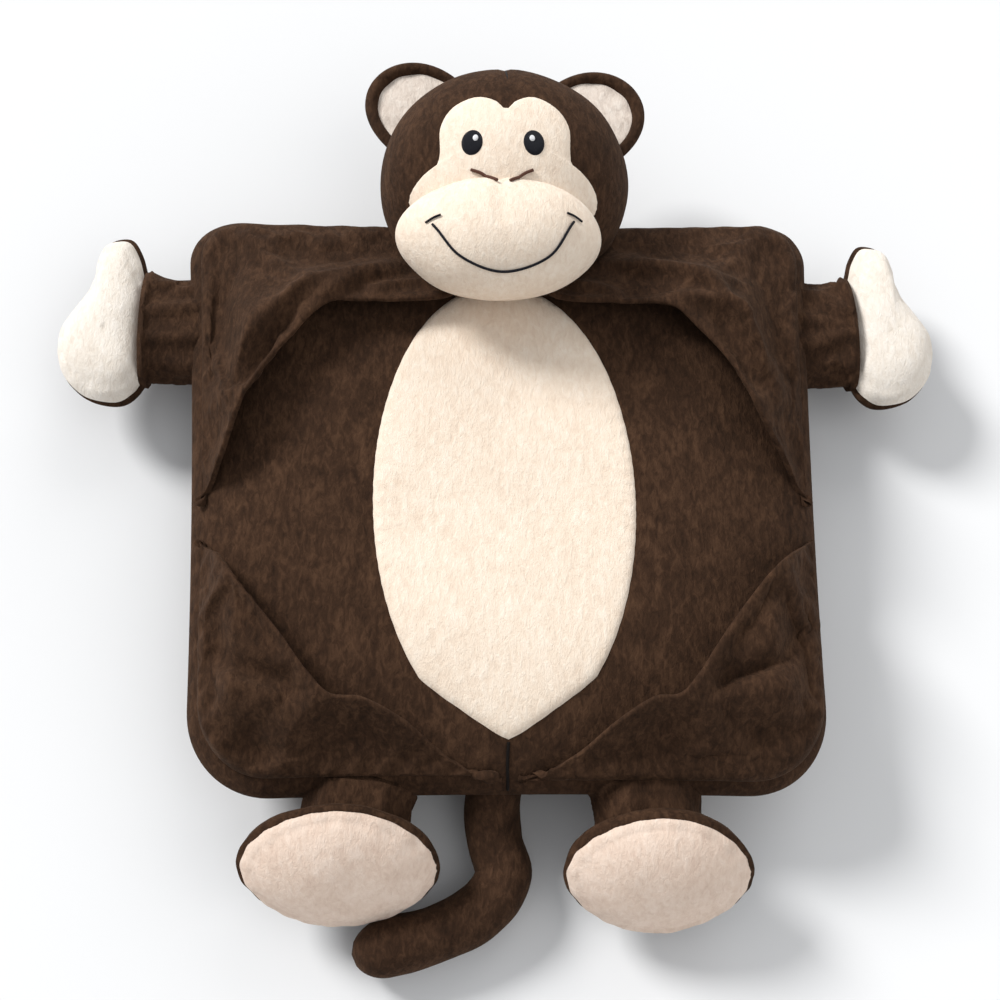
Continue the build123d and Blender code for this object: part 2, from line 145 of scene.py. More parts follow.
def stitch(name, base, light, scale=900.0):
    """Satin stitch: fine parallel threads with a low gloss."""
    mat, nodes, links = new_material(name)
    out = nodes.new("ShaderNodeOutputMaterial")
    bsdf = nodes.new("ShaderNodeBsdfPrincipled")
    links.new(bsdf.outputs["BSDF"], out.inputs["Surface"])
    coord = nodes.new("ShaderNodeTexCoord")
    threads = nodes.new("ShaderNodeTexWave")
    threads.inputs["Scale"].default_value = scale
    threads.inputs["Distortion"].default_value = 1.5
    threads.inputs["Detail"].default_value = 2
    links.new(coord.outputs["Object"], threads.inputs["Vector"])
    ramp = nodes.new("ShaderNodeValToRGB")
    ramp.color_ramp.elements[0].color = base
    ramp.color_ramp.elements[1].color = light
    links.new(threads.outputs["Fac"], ramp.inputs["Fac"])
    links.new(ramp.outputs["Color"], bsdf.inputs["Base Color"])
    bump = nodes.new("ShaderNodeBump")
    bump.inputs["Strength"].default_value = 0.6
    bump.inputs["Distance"].default_value = 0.0003
    links.new(threads.outputs["Fac"], bump.inputs["Height"])
    links.new(bump.outputs["Normal"], bsdf.inputs["Normal"])
    bsdf.inputs["Roughness"].default_value = 0.62
    bsdf.inputs["Specular IOR Level"].default_value = 0.2
    return mat


# each plush's light and dark patches are painted sheen and painted shade of brushed pile
BROWN = plush("plush_brown", rgb(36, 24, 16), rgb(57, 39, 27), rgb(80, 57, 41), pile_shade=0.6, sheen=0.10,
              sheen_tint=rgb(165, 130, 100))
CREAM = plush("plush_cream", rgb(226, 205, 184), rgb(238, 220, 200), rgb(246, 232, 215), pile_shade=0.5)
PALM = plush("plush_palm", rgb(220, 207, 192), rgb(234, 224, 211), rgb(243, 235, 225), pile_shade=0.5)
SOLE = plush("plush_sole", rgb(214, 188, 170), rgb(228, 205, 187), rgb(238, 218, 202), pile_shade=0.6)
LINING = plush("ear_lining", rgb(196, 181, 168), rgb(220, 206, 193), rgb(236, 225, 213), pile_shade=0.6)
NAVY = stitch("thread_navy", rgb(6, 6, 12), rgb(17, 18, 30))
WHITE = stitch("thread_white", rgb(225, 226, 230), rgb(252, 252, 252))
DARK_THREAD = stitch("thread_brown", rgb(66, 40, 31), rgb(112, 74, 58))
# painted shade: a near-black brown, darker than the plush, for the shade in the seam grooves
SEAM_SHADE = stitch("painted_seam_shade", rgb(13, 9, 7), rgb(26, 18, 14), 1200.0)


# ---- shapes -------------------------------------------------------------------------------
def disc_faces(rings, count):
    """Faces over rings of points, from the outer ring in, closed by one last point in the middle."""
    faces = []
    for k in range(rings - 1):
        for i in range(count):
            j = (i + 1) % count
            faces.append((k * count + i, k * count + j, (k + 1) * count + j, (k + 1) * count + i))
    last = (rings - 1) * count
    return faces + [(last + i, last + (i + 1) % count, rings * count) for i in range(count)]


def build(name, verts, faces, mat, body, replaces=(), slot=None):
    """A mesh object from points in millimetres. It rides the body and replaces the nodes that are given."""
    mesh = bpy.data.meshes.new(name)
    mesh.from_pydata([tuple(v) for v in np.asarray(verts) * MM], [], faces)
    mesh.validate()
    mesh.polygons.foreach_set("use_smooth", [True] * len(mesh.polygons))
    mesh.materials.append(mat)
    obj = bpy.data.objects.new(name, mesh)
    bpy.context.scene.collection.objects.link(obj)
    if body:
        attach(obj, body)
    if replaces:
        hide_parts(*replaces)
    return obj


def apply_modifiers(obj):
    """Puts the result of an object's modifiers in its own mesh."""
    bpy.context.view_layer.update()
    graph = bpy.context.evaluated_depsgraph_get()
    mesh = bpy.data.meshes.new_from_object(obj.evaluated_get(graph), depsgraph=graph)
    obj.modifiers.clear()
    old = obj.data
    obj.data = mesh
    bpy.data.meshes.remove(old)
    mesh.polygons.foreach_set("use_smooth", [True] * len(mesh.polygons))


def grid_faces(nu, nv, wrap_u=False, wrap_v=False):
    """Quads over an nu by nv array of points, stored row by row along v."""
    faces = []
    for i in range(nu if wrap_u else nu - 1):
        for j in range(nv if wrap_v else nv - 1):
            a, b = i * nv + j, ((i + 1) % nu) * nv + j
            c, d = ((i + 1) % nu) * nv + (j + 1) % nv, i * nv + (j + 1) % nv
            faces.append((a, b, c, d))
    return faces


def perimeter(half, corners, count):
    """Points round the pillow, evenly spaced, anticlockwise from the right side's middle. It is widest at
    the shoulders, and its sides draw in between the corners."""
    w, h = half
    top_radius, bottom_radius = corners
    path = []
    for cx, cy, a0 in ((w, h, 0), (-w, h, 90), (-w, -h, 180), (w, -h, 270)):
        sx, sy = math.copysign(1, cx), math.copysign(1, cy)
        radius = top_radius if cy > 0 else bottom_radius
        for k in range(25):
            a = math.radians(a0 + 90 * k / 24)
            path.append((cx - sx * radius + radius * math.cos(a), cy - sy * radius + radius * math.sin(a)))
    path = np.array([(w, 0.0)] + path + [(w, 0.0)])
    step = np.hypot(*np.diff(path, axis=0).T)
    along = np.concatenate([[0], np.cumsum(step)])
    at = np.arange(count) / count * along[-1]
    line = np.stack([np.interp(at, along, path[:, k]) for k in (0, 1)], -1)
    share = line[:, 1] / h
    line[:, 0] *= 0.980 + 0.050 * share + 0.016 * share ** 2
    across = line[:, 0] / w
    line[:, 1] *= 0.982 + 0.018 * across ** 2 + 0.006 * across
    return line


def resample(points, count):
    """A polyline evenly spaced."""
    points = np.asarray(points, float)
    along = np.concatenate([[0], np.cumsum(np.linalg.norm(np.diff(points, axis=0), axis=1))])
    at = np.linspace(0, along[-1], count)
    return np.stack([np.interp(at, along, points[:, k]) for k in range(points.shape[1])], -1)


def catmull(points, count):
    """A smooth curve through the points, evenly spaced."""
    p = np.asarray(points, float)
    p = np.vstack([2 * p[0] - p[1], p, 2 * p[-1] - p[-2]])
    fine = []
    for i in range(1, len(p) - 2):
        for t in np.linspace(0, 1, 24, endpoint=False):
            a, b, c, d = p[i - 1], p[i], p[i + 1], p[i + 2]
            fine.append(0.5 * (2 * b + (c - a) * t + (2 * a - 5 * b + 4 * c - d) * t ** 2
                               + (3 * b - a - 3 * c + d) * t ** 3))
    fine.append(p[-2])
    return resample(fine, count)


# ---- the pillow's surfaces ----------------------------------------------------------------
def smoothstep(x):
    """0 up to x = 0 and 1 from x = 1, eased between."""
    x = np.clip(x, 0, 1)
    return x * x * (3 - 2 * x)


RIM = perimeter(PILLOW_HALF, CORNERS, 1440)
RIM_ANGLE = np.unwrap(np.arctan2(RIM[:, 1], RIM[:, 0]))
RIM_REACH = np.hypot(RIM[:, 0], RIM[:, 1])


def share_out(x, y):
    """0 in the pillow's middle, 1 at its rim."""
    angle = (math.atan2(y, x) - RIM_ANGLE[0]) % (2 * math.pi) + RIM_ANGLE[0]
    return math.hypot(x, y) / float(np.interp(angle, RIM_ANGLE, RIM_REACH))


def front_z(x, y):
    """Height of the pillow's front at a place."""
    r = min(share_out(x, y), 1.0)
    z = SEAM_Z + (FRONT_Z - SEAM_Z) * (1 - r ** 4.2) ** 0.6
    z += 1.3 * noise.noise(Vector((x, y, 60)) / 46.0 + Vector((3, 5.1, 0.9))) * (1 - r ** 4)
    away = (1 - r) * 150.0
    turn = math.atan2(y, x)
    gathers = math.sin(72 * turn + 2.6 * math.sin(7 * turn)) * (0.6 + 0.4 * math.sin(9 * turn + 1.0))
    return z + 1.1 * gathers * math.exp(-away / 10.0) * min(1.0, away / 3.0)


def back_z(x, y):
    """Height of the pillow's back, which lies flat on the floor."""
    r = min(share_out(x, y), 1.0)
    turn = math.atan2(y, x)
    away = (1 - r) * 150.0
    z = SEAM_Z - (SEAM_Z - 0.8) * (1 - r ** 7) ** 0.62
    gathers = math.sin(66 * turn + 2.2 * math.sin(5 * turn + 2)) * (0.6 + 0.4 * math.sin(8 * turn))
    return max(z - 1.2 * gathers * math.exp(-away / 12.0) * min(1.0, away / 3.0), 0.3)


PILLOW_ROWS, PILLOW_COUNT = 60, 420     # points from the rim to the middle, and round it


def pillow_half(height, upward, rows=PILLOW_ROWS, count=PILLOW_COUNT):
    """One side of the pillow, from its rim to its middle."""
    rim = perimeter(PILLOW_HALF, CORNERS, count)
    shares = np.concatenate([1 - 0.30 * np.linspace(0, 1, 34) ** 1.7, np.linspace(0.67, 0.02, rows - 34)])
    verts = [(x * r, y * r, height(x * r, y * r)) for x, y in rim for r in shares]
    faces = grid_faces(count, rows, wrap_u=True)
    middle = len(verts)
    verts.append((0.0, 0.0, height(0.01, 0.01)))
    faces += [(i * rows + rows - 1, ((i + 1) % count) * rows + rows - 1, middle) for i in range(count)]
    if not upward:
        faces = [tuple(reversed(f)) for f in faces]
    return verts, faces


def tent_z(x, y):
    """Height of the flaps, stretched over the tablet's corners and down to the seam."""
    x, y = float(x), float(y)
    side, end = math.copysign(1, x), math.copysign(1, y)
    room_x = PILLOW_HALF[0] - 6 - TABLET_HALF[0] - TABLET_AT[0] * side
    room_y = PILLOW_HALF[1] - 6 - TABLET_HALF[1] - TABLET_AT[1] * end
    dx = max(abs(x - TABLET_AT[0]) - TABLET_HALF[0] + 2.0, 0.0) / room_x
    dy = max(abs(y - TABLET_AT[1]) - TABLET_HALF[1] + 2.0, 0.0) / room_y
    t = min((dx ** 2.4 + dy ** 2.4) ** (1 / 2.4), 1.2)
    return FLAP_Z + 1.2 - (FLAP_Z + 1.2 - 44.0) * t ** 1.5


# Folds in the flaps: a line in plan, its height (a hollow is negative), and its width on its left and right.
FOLDS = (
    (((-138, 22), (-110, 78), (-40, 118)), 8.0, 10.0, 5.0),
    (((-130, 35), (-108, 68), (-80, 85)), -4.5, 6.0, 6.0),
    (((-105, 65), (-75, 92), (-45, 107)), 6.5, 6.0, 4.0),
    (((-68, 84), (-48, 96), (-26, 96)), 4.5, 5.0, 4.0),
    (((-145, 115), (-147, 65), (-141, 12)), 4.5, 5.0, 6.0),
    (((-122, 128), (-90, 129), (-60, 126)), 4.0, 6.0, 7.0),
    (((-142, -63), (-122, -94), (-84, -108)), -7.0, 5.0, 6.0),
    (((-146, -54), (-141, -74), (-134, -92)), 5.0, 6.0, 6.0),
    (((-142, -97), (-126, -121), (-100, -132)), -7.0, 5.0, 6.5),
    (((-132, -132), (-108, -138), (-84, -134)), 4.0, 7.0, 7.0),
    (((36, 118), (98, 97), (136, 24)), 8.0, 8.0, 5.0),
    (((77, 86), (113, 77), (131, 38)), 6.0, 4.0, 6.0),
    (((30, 98), (44, 95), (58, 86)), 4.5, 4.0, 5.0),
    (((142, 104), (146, 60), (136, 14)), 4.5, 5.0, 6.0),
    (((80, -107), (118, -95), (133, -64)), -7.0, 6.0, 5.0),
    (((98, -126), (120, -125), (136, -113)), -6.5, 6.0, 5.0),
    (((140, -54), (143, -74), (138, -92)), 5.0, 6.0, 6.0),
)
FOLD_POINTS = 40      # points worked out along each fold
FOLD_LINES = [(catmull(line, FOLD_POINTS), height, left, right) for line, height, left, right in FOLDS]


def fold_height(x, y):
    """How far the folds near a place lift the cloth there."""
    total = 0.0
    for line, height, left, right in FOLD_LINES:
        gap = line - (x, y)
        k = int(np.argmin(gap[:, 0] ** 2 + gap[:, 1] ** 2))
        distance = math.hypot(*gap[k])
        if distance > 3 * max(left, right):
            continue
        ahead = line[min(k + 1, FOLD_POINTS - 1)] - line[max(k - 1, 0)]
        width = left if ahead[0] * -gap[k][1] - ahead[1] * -gap[k][0] > 0 else right
        ends = smoothstep(min(k + 1, FOLD_POINTS - k) / 9.0)
        total += height * ends * math.exp(-(distance / width) ** 2)
    return total


SEAM_POINTS = 4000
SEAM_INSET = 6.5      # the seam of the flaps from the pillow's rim
SEAM_LINE = perimeter((PILLOW_HALF[0] - SEAM_INSET, PILLOW_HALF[1] - SEAM_INSET), (20.0, 34.0), SEAM_POINTS)


def share_at(x, y):
    """How far round the flap seam line the nearest point to (x, y) is."""
    return float(np.argmin(np.hypot(SEAM_LINE[:, 0] - x, SEAM_LINE[:, 1] - y))) / SEAM_POINTS


def outer_run(start, end, count):
    """The flap seam line from one place to another, the short way round."""
    a, b = share_at(*start), share_at(*end)
    if b - a > 0.5:
        a += 1
    elif a - b > 0.5:
        b += 1
    return SEAM_LINE[((np.linspace(a, b, count) % 1.0) * SEAM_POINTS).astype(int) % SEAM_POINTS]


def drape(obj, held, cap, grow=0.03, frames=20):
    """Cloth settles between its held points, moving cap millimetres at most. It is cut a little full, by the
    share grow, so it buckles into soft folds."""
    group = obj.vertex_groups.new(name="held")
    group.add([int(i) for i in held], 1.0, "REPLACE")
    cloth = obj.modifiers.new("cloth", "CLOTH")
    settings = cloth.settings
    settings.vertex_group_mass = "held"
    settings.quality = 7
    settings.mass = 0.25
    settings.tension_stiffness = settings.compression_stiffness = 18.0
    settings.shear_stiffness = 8.0
    settings.bending_stiffness = 0.9
    settings.air_damping = 3.0
    settings.shrink_min = settings.shrink_max = -grow
    settings.effector_weights.gravity = 0.15
    cloth.point_cache.frame_end = frames
    scene = bpy.context.scene
    for step in range(1, frames + 1):
        scene.frame_set(step)
    graph = bpy.context.evaluated_depsgraph_get()
    settled = obj.evaluated_get(graph).data
    before = np.empty(len(obj.data.vertices) * 3)
    after = np.empty_like(before)
    obj.data.vertices.foreach_get("co", before)
    settled.vertices.foreach_get("co", after)
    move = (after - before).reshape(-1, 3)
    size = np.linalg.norm(move, axis=1)[:, None]
    move *= np.minimum(1.0, cap * MM / np.maximum(size, 1e-9))
    obj.modifiers.remove(cloth)
    obj.data.vertices.foreach_set("co", (before.reshape(-1, 3) + move).ravel())
    obj.data.update()
    scene.frame_set(1)


def flap(name, free, outer_ends, cut_ends, seed):
    """One corner flap, from its free edge out to the pillow's seam. It comes back as three parts, the lip
    over the tablet's corner and what runs on from it each way, with the line in plan where each joins it."""
    rows, count = 34, 112
    inner_line = catmull(free, count)
    outer_line = outer_run(*outer_ends, count)
    verts = np.zeros((count, rows, 3))
    for i in range(count):
        for j in range(rows):
            v = j / (rows - 1)
            x, y = inner_line[i] * (1 - v) + outer_line[i] * v
            edge = np.linalg.norm(outer_line[i] - (x, y))
            free_gap = np.linalg.norm(inner_line[i] - (x, y))
            ends = float(smoothstep(min(i + 1, count - i) / 12.0))
            low = front_z(x, y) + 2.2
            z = low + max(tent_z(x, y) - low, 1.4) * ends
            z += ends * fold_height(x, y) * min(1.0, edge / 8.0, (free_gap + 2) / 6.0)
            z += 1.0 * noise.noise(Vector((x, y, seed)) / 20.0) * min(1.0, edge / 12.0, (free_gap + 1) / 8.0)
            gather = math.sin(0.62 * (i / count * 190) + 2.5 * noise.noise(Vector((x, y, 0)) / 30))
            z += 0.8 * gather * math.exp(-edge / 9.0)
            verts[i, j] = (x, y, z)
    verts[:, -1, 2] = [front_z(x, y) + 0.6 for x, y in outer_line]
    faces = grid_faces(count, rows)
    flat = verts.reshape(-1, 3)
    normal = np.cross(flat[rows] - flat[0], flat[1] - flat[0])
    if normal[2] > 0:
        faces = [tuple(reversed(f)) for f in faces]
    obj = build(name, flat, faces, BROWN, None)
    joins = [int(np.argmin(np.hypot(*(inner_line - end).T))) for end in cut_ends]
    obj.data.materials.append(BROWN)
    obj.data.materials.append(BROWN)
    for face, polygon in zip(range(len(faces)), obj.data.polygons):
        column = face // (rows - 1)
        polygon.material_index = 1 if column < joins[0] else 2 if column >= joins[1] else 0
    held = [i * rows + j for i in range(count) for j in range(rows)
            if j in (0, 1, rows - 1, rows - 2) or i in (0, count - 1, *joins)]
    drape(obj, held, 5.0)
    solid = obj.modifiers.new("thickness", "SOLIDIFY")
    solid.thickness = 2.6 * MM
    solid.offset = -1.0
    smooth = obj.modifiers.new("smooth", "SUBSURF")
    smooth.levels = smooth.render_levels = 1
    apply_modifiers(obj)
    lines = [(inner_line[i], outer_line[i]) for i in joins]
    return parts_by_slot(obj, ("", "_side", "_end")), lines


def parts_by_slot(obj, endings):
    """Cuts a mesh by its faces' material slots. The parts keep its normals, so the cut doesn't show."""
    mesh = obj.data
    normals = [v.normal.copy() for v in mesh.vertices]
    parts = []
    for index, ending in enumerate(endings):
        faces = [tuple(p.vertices) for p in mesh.polygons if p.material_index == index]
        used = sorted({v for face in faces for v in face})
        place = {v: k for k, v in enumerate(used)}
        part = build(obj.name + "_part" + ending, [mesh.vertices[v].co / MM for v in used],
                     [tuple(place[v] for v in face) for face in faces], mesh.materials[index], None)
        part.data.normals_split_custom_set_from_vertices([normals[v] for v in used])
        parts.append(part)
    bpy.data.objects.remove(obj)
    return parts


back = build("vis_back_panel", *pillow_half(back_z, False), BROWN, "pillow", ("back_panel", "pillow_insert"),
             "plush_brown")
drape(back, [i * PILLOW_ROWS + j for i in range(PILLOW_COUNT) for j in (0, 1)], 3.0, grow=0.02, frames=14)
for v in back.data.vertices:
    v.co.z = max(v.co.z, 0.3 * MM)
front = build("vis_front_panels", *pillow_half(front_z, True), BROWN, "pillow", ("front_left", "front_right"),
              "plush_brown")


def belly_rim(angle):
    """The belly oval's reach at an angle, drawn to a point at the bottom where the two front panels meet."""
    x, y = math.cos(angle), math.sin(angle)
    reach = 1 / math.hypot(x / BELLY_R[0], y / BELLY_R[1])
    if y < -0.6:
        side = min(abs(x) / 0.42, 1.0)
        reach *= 1.0 - 0.055 * math.sin(math.pi * side) * (1 - 0.25 * side)
    return reach


def belly():
    """The cream panel, sewn into the front: its rim dips into the seam."""
    rings, count = 44, 260
    verts = []
    for k in range(rings):
        r = 1.0 - 0.985 * (k / (rings - 1)) ** 1.5
        for i in range(count):
            a = 2 * math.pi * i / count
            reach = belly_rim(a)
            x = BELLY_AT[0] + reach * r * math.cos(a)
            y = BELLY_AT[1] + reach * r * math.sin(a)
            away = (1 - r) * reach
            lift = -2.6 + 4.2 * (1 - math.exp(-away / 1.6)) + 0.8 * (1 - math.exp(-away / 14.0))
            pucker = math.sin(60 * a + 2 * math.sin(5 * a)) * min(1.0, away / 3.0)
            lift += 0.25 * pucker * math.exp(-away / 7.0)
            verts.append((x, y, front_z(x, y) + lift))
    verts.append((BELLY_AT[0], BELLY_AT[1], front_z(*BELLY_AT) + 2.4))
    faces = disc_faces(rings, count)
    obj = build("vis_belly", verts, faces, CREAM, "pillow", ("belly_panel",), "plush_cream")


belly()


def seam(name, line, height, body, radius):
    """A dark thread tube along a seam on a surface: painted shade for the shaded groove of the seam."""
    tube(name, [(x, y, height(x, y) + 0.1) for x, y in catmull(line, 60)], radius, SEAM_SHADE, body, sides=8)


L, R = TABLET_AT[0] - TABLET_HALF[0], TABLET_AT[0] + TABLET_HALF[0]
T, B = TABLET_AT[1] + TABLET_HALF[1], TABLET_AT[1] - TABLET_HALF[1]
# Each flap: its free edge in plan, then where its seam with the pillow starts and ends.
FLAPS = {
    "top_left": (((-145, -11), (-134, 4), (L, 26), (-112, 48), (-97, 66), (-81, T + 1), (-54, 81), (-28, 84),
                  (-17, 98), (-8, 118)), ((-145, -13), (-5, 142))),
    "top_right": (((145, -11), (132, 4), (R, 25), (107, 46), (93, 65), (77, T + 1), (52, 81), (24, 84),
                   (12, 98), (5, 118)), ((145, -13), (3, 142))),
    "bottom_left": (((-144, -30), (-134, -40), (L, -53), (-103, -79), (-82, B), (-66, -110), (-48, -119),
                     (-33, -130), (-16, -139), (-5, -141)), ((-144, -31), (-6, -142))),
    "bottom_right": (((143, -30), (131, -40), (R, -53), (95, -79), (74, B), (60, -110), (44, -119),
                      (29, -130), (12, -139), (2, -141)), ((143, -31), (3, -142))),
}
LIP_JOINT = {"top_left": "tl", "top_right": "tr", "bottom_left": "bl", "bottom_right": "br"}
CUT_ENDS = {"top_left": ((L, 26), (-81, T + 1)), "top_right": ((R, 25), (77, T + 1)),
            "bottom_left": ((L, -53), (-82, B)), "bottom_right": ((R, -53), (74, B))}
FADE_SIDE, FADE_NECK, FADE_MIDDLE = 36.0, 22.0, 40.0     # distances in millimetres past the ends of a lip, paired below with each flap's side and end parts


for key, (free, outer_ends) in FLAPS.items():
    parts, lines = flap(f"vis_flap_{key}", free, outer_ends, CUT_ENDS[key], sum(map(ord, key)) * 0.1)
    joint = next(j for j in frame["joints"] if j["name"] == "lip_lift_" + LIP_JOINT[key])
    pivot = Vector(joint["pos_m"])
    out = Vector(joint["axis"]).normalized().cross(Vector((0, 0, 1)))
    outward = Vector((pivot.x - TABLET_AT[0] * MM, pivot.y - TABLET_AT[1] * MM, 0))
    if out.dot(outward) > 0:
        out = -out
    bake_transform(parts[0])
    fades = FADE_SIDE, FADE_NECK if key.startswith("top") else FADE_MIDDLE
    for part, line, away, fade in zip(parts[1:], lines, (free[0], free[-1]), fades):
        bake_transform(part)
    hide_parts(f"flap_{key}", f"lip_{key}")


# ---- head ---------------------------------------------------------------------------------
def head_z(x, y, grow=0.0):
    """Height of the head's front at a place in plan."""
    r = HEAD_R + grow
    inside = 1 - ((x - HEAD_AT[0]) / r[0]) ** 2 - ((y - HEAD_AT[1]) / r[1]) ** 2
    return HEAD_AT[2] + r[2] * math.sqrt(max(inside, 0.0))


def ball(name, centre, radii, mat, nodes, slot, change, rows=60, count=120):
    """An oval stuffed shape, with its poles on x, changed point by point."""
    verts = []
    for i in range(1, rows):
        a = math.pi * i / rows
        for k in range(count):
            b = 2 * math.pi * k / count
            verts.append(np.array([math.cos(a), math.sin(a) * math.cos(b), math.sin(a) * math.sin(b)]))
    verts += [np.array([1.0, 0, 0]), np.array([-1.0, 0, 0])]
    shape = [change(centre + radii * p) for p in verts]
    faces = grid_faces(rows - 1, count, wrap_v=True)
    n = (rows - 1) * count
    faces += [(k, (k + 1) % count, n) for k in range(count)]
    last = (rows - 2) * count
    faces += [(last + (k + 1) % count, last + k, n + 1) for k in range(count)]
    obj = build(name, shape, faces, mat, "head", nodes, slot)
    fix_normals(obj)
    return obj


def fix_normals(obj):
    """Turn the faces of a closed piece so that they look outward."""
    bm = bmesh.new()
    bm.from_mesh(obj.data)
    bmesh.ops.recalc_face_normals(bm, faces=bm.faces)
    bm.to_mesh(obj.data)
    bm.free()


def shape_head(q):
    """The head's lumps and crown seam, with its underside pressed flat by the flaps."""
    lump = noise.noise(Vector(q) / 34.0 + Vector((1, 2, 3))) * 1.3
    seam = math.exp(-((q[0] - HEAD_AT[0]) / 2.2) ** 2) * (1.0 if q[2] > 60 else 0.4)
    q = HEAD_AT + (q - HEAD_AT) * (1 + (lump - 0.9 * seam) / 58.0)
    floor = tent_z(q[0], min(q[1], 143)) + 2.0 if q[1] < 143 else -99.0
    if q[1] < 146 and q[2] < floor:
        q[2] = floor
    return q


head = ball("vis_head", HEAD_AT, HEAD_R, BROWN, ("head_cover", "head_stuffing"), "plush_brown", shape_head)


def shape_muzzle(q):
    """The muzzle's lumps and centre seam, with its underside flat over the tablet."""
    x, y = q[0] - MUZZLE_AT[0], q[1] - MUZZLE_AT[1]
    lump = noise.noise(Vector(q) / 24.0) * 0.9
    seam = 1.4 * math.exp(-(x / 1.6) ** 2) * (1 if y > -6 and q[2] > 96 else 0.0)
    q = MUZZLE_AT + (q - MUZZLE_AT) * (1 + (lump - seam) / 30.0)
    if q[1] < 84 and q[2] < 81.0:
        q[2] = 81.0
    return q


muzzle = ball("vis_muzzle", MUZZLE_AT, MUZZLE_R, CREAM, ("muzzle_cover", "muzzle_stuffing"), "plush_cream",
              shape_muzzle, rows=48, count=96)

# The face patch: up the left side, over the two brows, down the right side, then under the muzzle.
FACE = ((-33.0, 142.0), (-33.0, 156.0), (-26.0, 167.0), (-15.0, 172.0), (-6.0, 169.0), (-0.5, 163.0),
        (5.0, 169.0), (14.0, 172.5), (24.0, 167.0), (30.0, 156.0), (30.5, 142.0), (31.5, 136.5),
        (39.0, 133.0), (44.0, 126.0), (39.0, 117.0), (18.0, 110.0), (-26.0, 110.0), (-43.0, 117.0),
        (-49.0, 126.0), (-43.0, 133.0), (-34.5, 136.5))


def patch(name, outline, middle, height, lift, mat, nodes, slot, rings=16, pillow_up=0.6):
    """A flat piece sewn or stitched on a curved surface, its rim rolled down."""
    line = catmull(list(outline) + [outline[0]], 97)[:-1]
    verts = []
    for k in range(rings):
        r = 1.0 - 0.97 * k / (rings - 1)
        for x0, y0 in line:
            x = middle[0] + (x0 - middle[0]) * r
            y = middle[1] + (y0 - middle[1]) * r
            up = lift * (1 - r ** 18) + pillow_up * (1 - r ** 2)
            verts.append((x, y, height(x, y) + up - 0.35))
    verts.append((middle[0], middle[1], height(*middle) + lift + pillow_up - 0.35))
    faces = disc_faces(rings, len(line))
    turn_towards(build(name, verts, faces, mat, "head", nodes, slot), Vector((0, 0, 1)))


def turn_towards(obj, way):
    """Turn the faces of an open piece so that they look that way on the whole."""
    if sum(way.dot(p.normal) * p.area for p in obj.data.polygons) < 0:
        obj.data.flip_normals()


patch("vis_face", FACE, (-2.0, 148.0), head_z, 1.5, CREAM, ("face_patch",), "plush_cream")


def oval(cx, cy, rx, ry, count=24):
    """Points round an oval."""
    turns = [2 * math.pi * k / count for k in range(count)]
    return [(cx + rx * math.cos(a), cy + ry * math.sin(a)) for a in turns]


for side, cx, cy in (("left", -16.8, 144.0), ("right", 12.0, 143.6)):
    patch(f"vis_eye_{side}", oval(cx, cy, 5.0, 6.4), (cx, cy), lambda x, y: head_z(x, y, 1.9), 0.7, NAVY,
          (f"eye_{side}",), "thread_navy", rings=8, pillow_up=0.5)
    hx = cx + (1.5 if side == "left" else -0.8)
    hy = cy + 1.4
    patch(f"vis_eye_light_{side}", oval(hx, hy, 1.3, 1.6), (hx, hy), lambda x, y: head_z(x, y, 3.0), 0.5,
          WHITE, (f"eye_light_{side}",), "thread_white", rings=5, pillow_up=0.2)


def muzzle_z(x, y, grow=0.0):
    """Height of the muzzle's front at a place in plan."""
    r = MUZZLE_R + grow
    inside = 1 - ((x - MUZZLE_AT[0]) / r[0]) ** 2 - ((y - MUZZLE_AT[1]) / r[1]) ** 2
    return MUZZLE_AT[2] + r[2] * math.sqrt(max(inside, 0.0))


def tube(name, path, radius, mat, body=None, nodes=(), slot=None, sides=10, high=None):
    """A piece along a path. radius is one number, or one per point of the path. high gives the radius upward
    where it is another."""
    path = np.asarray(path, float)
    n = len(path)
    wide = np.full(n, radius) if np.isscalar(radius) else np.asarray(radius, float)
    high = wide if high is None else high
    verts = []
    tangent = np.gradient(path, axis=0)
    tangent /= np.linalg.norm(tangent, axis=1)[:, None]
    ref = np.array([0.0, 0.0, 1.0])
    for i in range(n):
        a = np.cross(tangent[i], ref)
        a /= np.linalg.norm(a)
        b = np.cross(a, tangent[i])
        for k in range(sides):
            t = 2 * math.pi * k / sides
            verts.append(path[i] + a * wide[i] * math.cos(t) + b * high[i] * math.sin(t))
    faces = grid_faces(n, sides, wrap_v=True)
    faces.append(tuple(range(sides)))
    faces.append(tuple(reversed(range((n - 1) * sides, n * sides))))
    obj = build(name, verts, faces, mat, body, nodes, slot)
    fix_normals(obj)
    return obj


def on_muzzle(points, count=12):
    """A stitched line on the muzzle."""
    return [(x, y, muzzle_z(x, y, 0.5)) for x, y in catmull(points, count)]


def nose_line(points):
    """A stitched line where the muzzle meets the face, on whichever stands higher."""
    return [(x, y, max(muzzle_z(x, y, 0.8), head_z(x, y, 2.4))) for x, y in catmull(points, 18)]


SMILE = on_muzzle([(-35.5, 99.5), (-23, 84.5), (-3, 78.2), (18, 85), (29.5, 102)], 60)
CHEEKS = {"left": [(-38.6, 101), (-35, 102.6), (-31.6, 103.4)],
          "right": [(33.5, 103.4), (30, 105), (26.4, 105.8)]}
NOSTRILS = {"left": [(-17.5, 130.5), (-12, 128), (-5.5, 122.5)],
            "right": [(11.5, 130), (6.5, 127.5), (0.5, 122.5)]}
tube("vis_smile", SMILE, 0.62, NAVY, "head", ("smile_stitch",), "thread_navy")
for side, line in CHEEKS.items():
    tube(f"vis_cheek_{side}", on_muzzle(line), 0.5, NAVY, "head", (f"cheek_tick_{side}",), "thread_navy")
for side, line in NOSTRILS.items():
    tube(f"vis_nostril_{side}", nose_line(line), 0.75, DARK_THREAD, "head", (f"nostril_{side}",),
         "thread_brown")
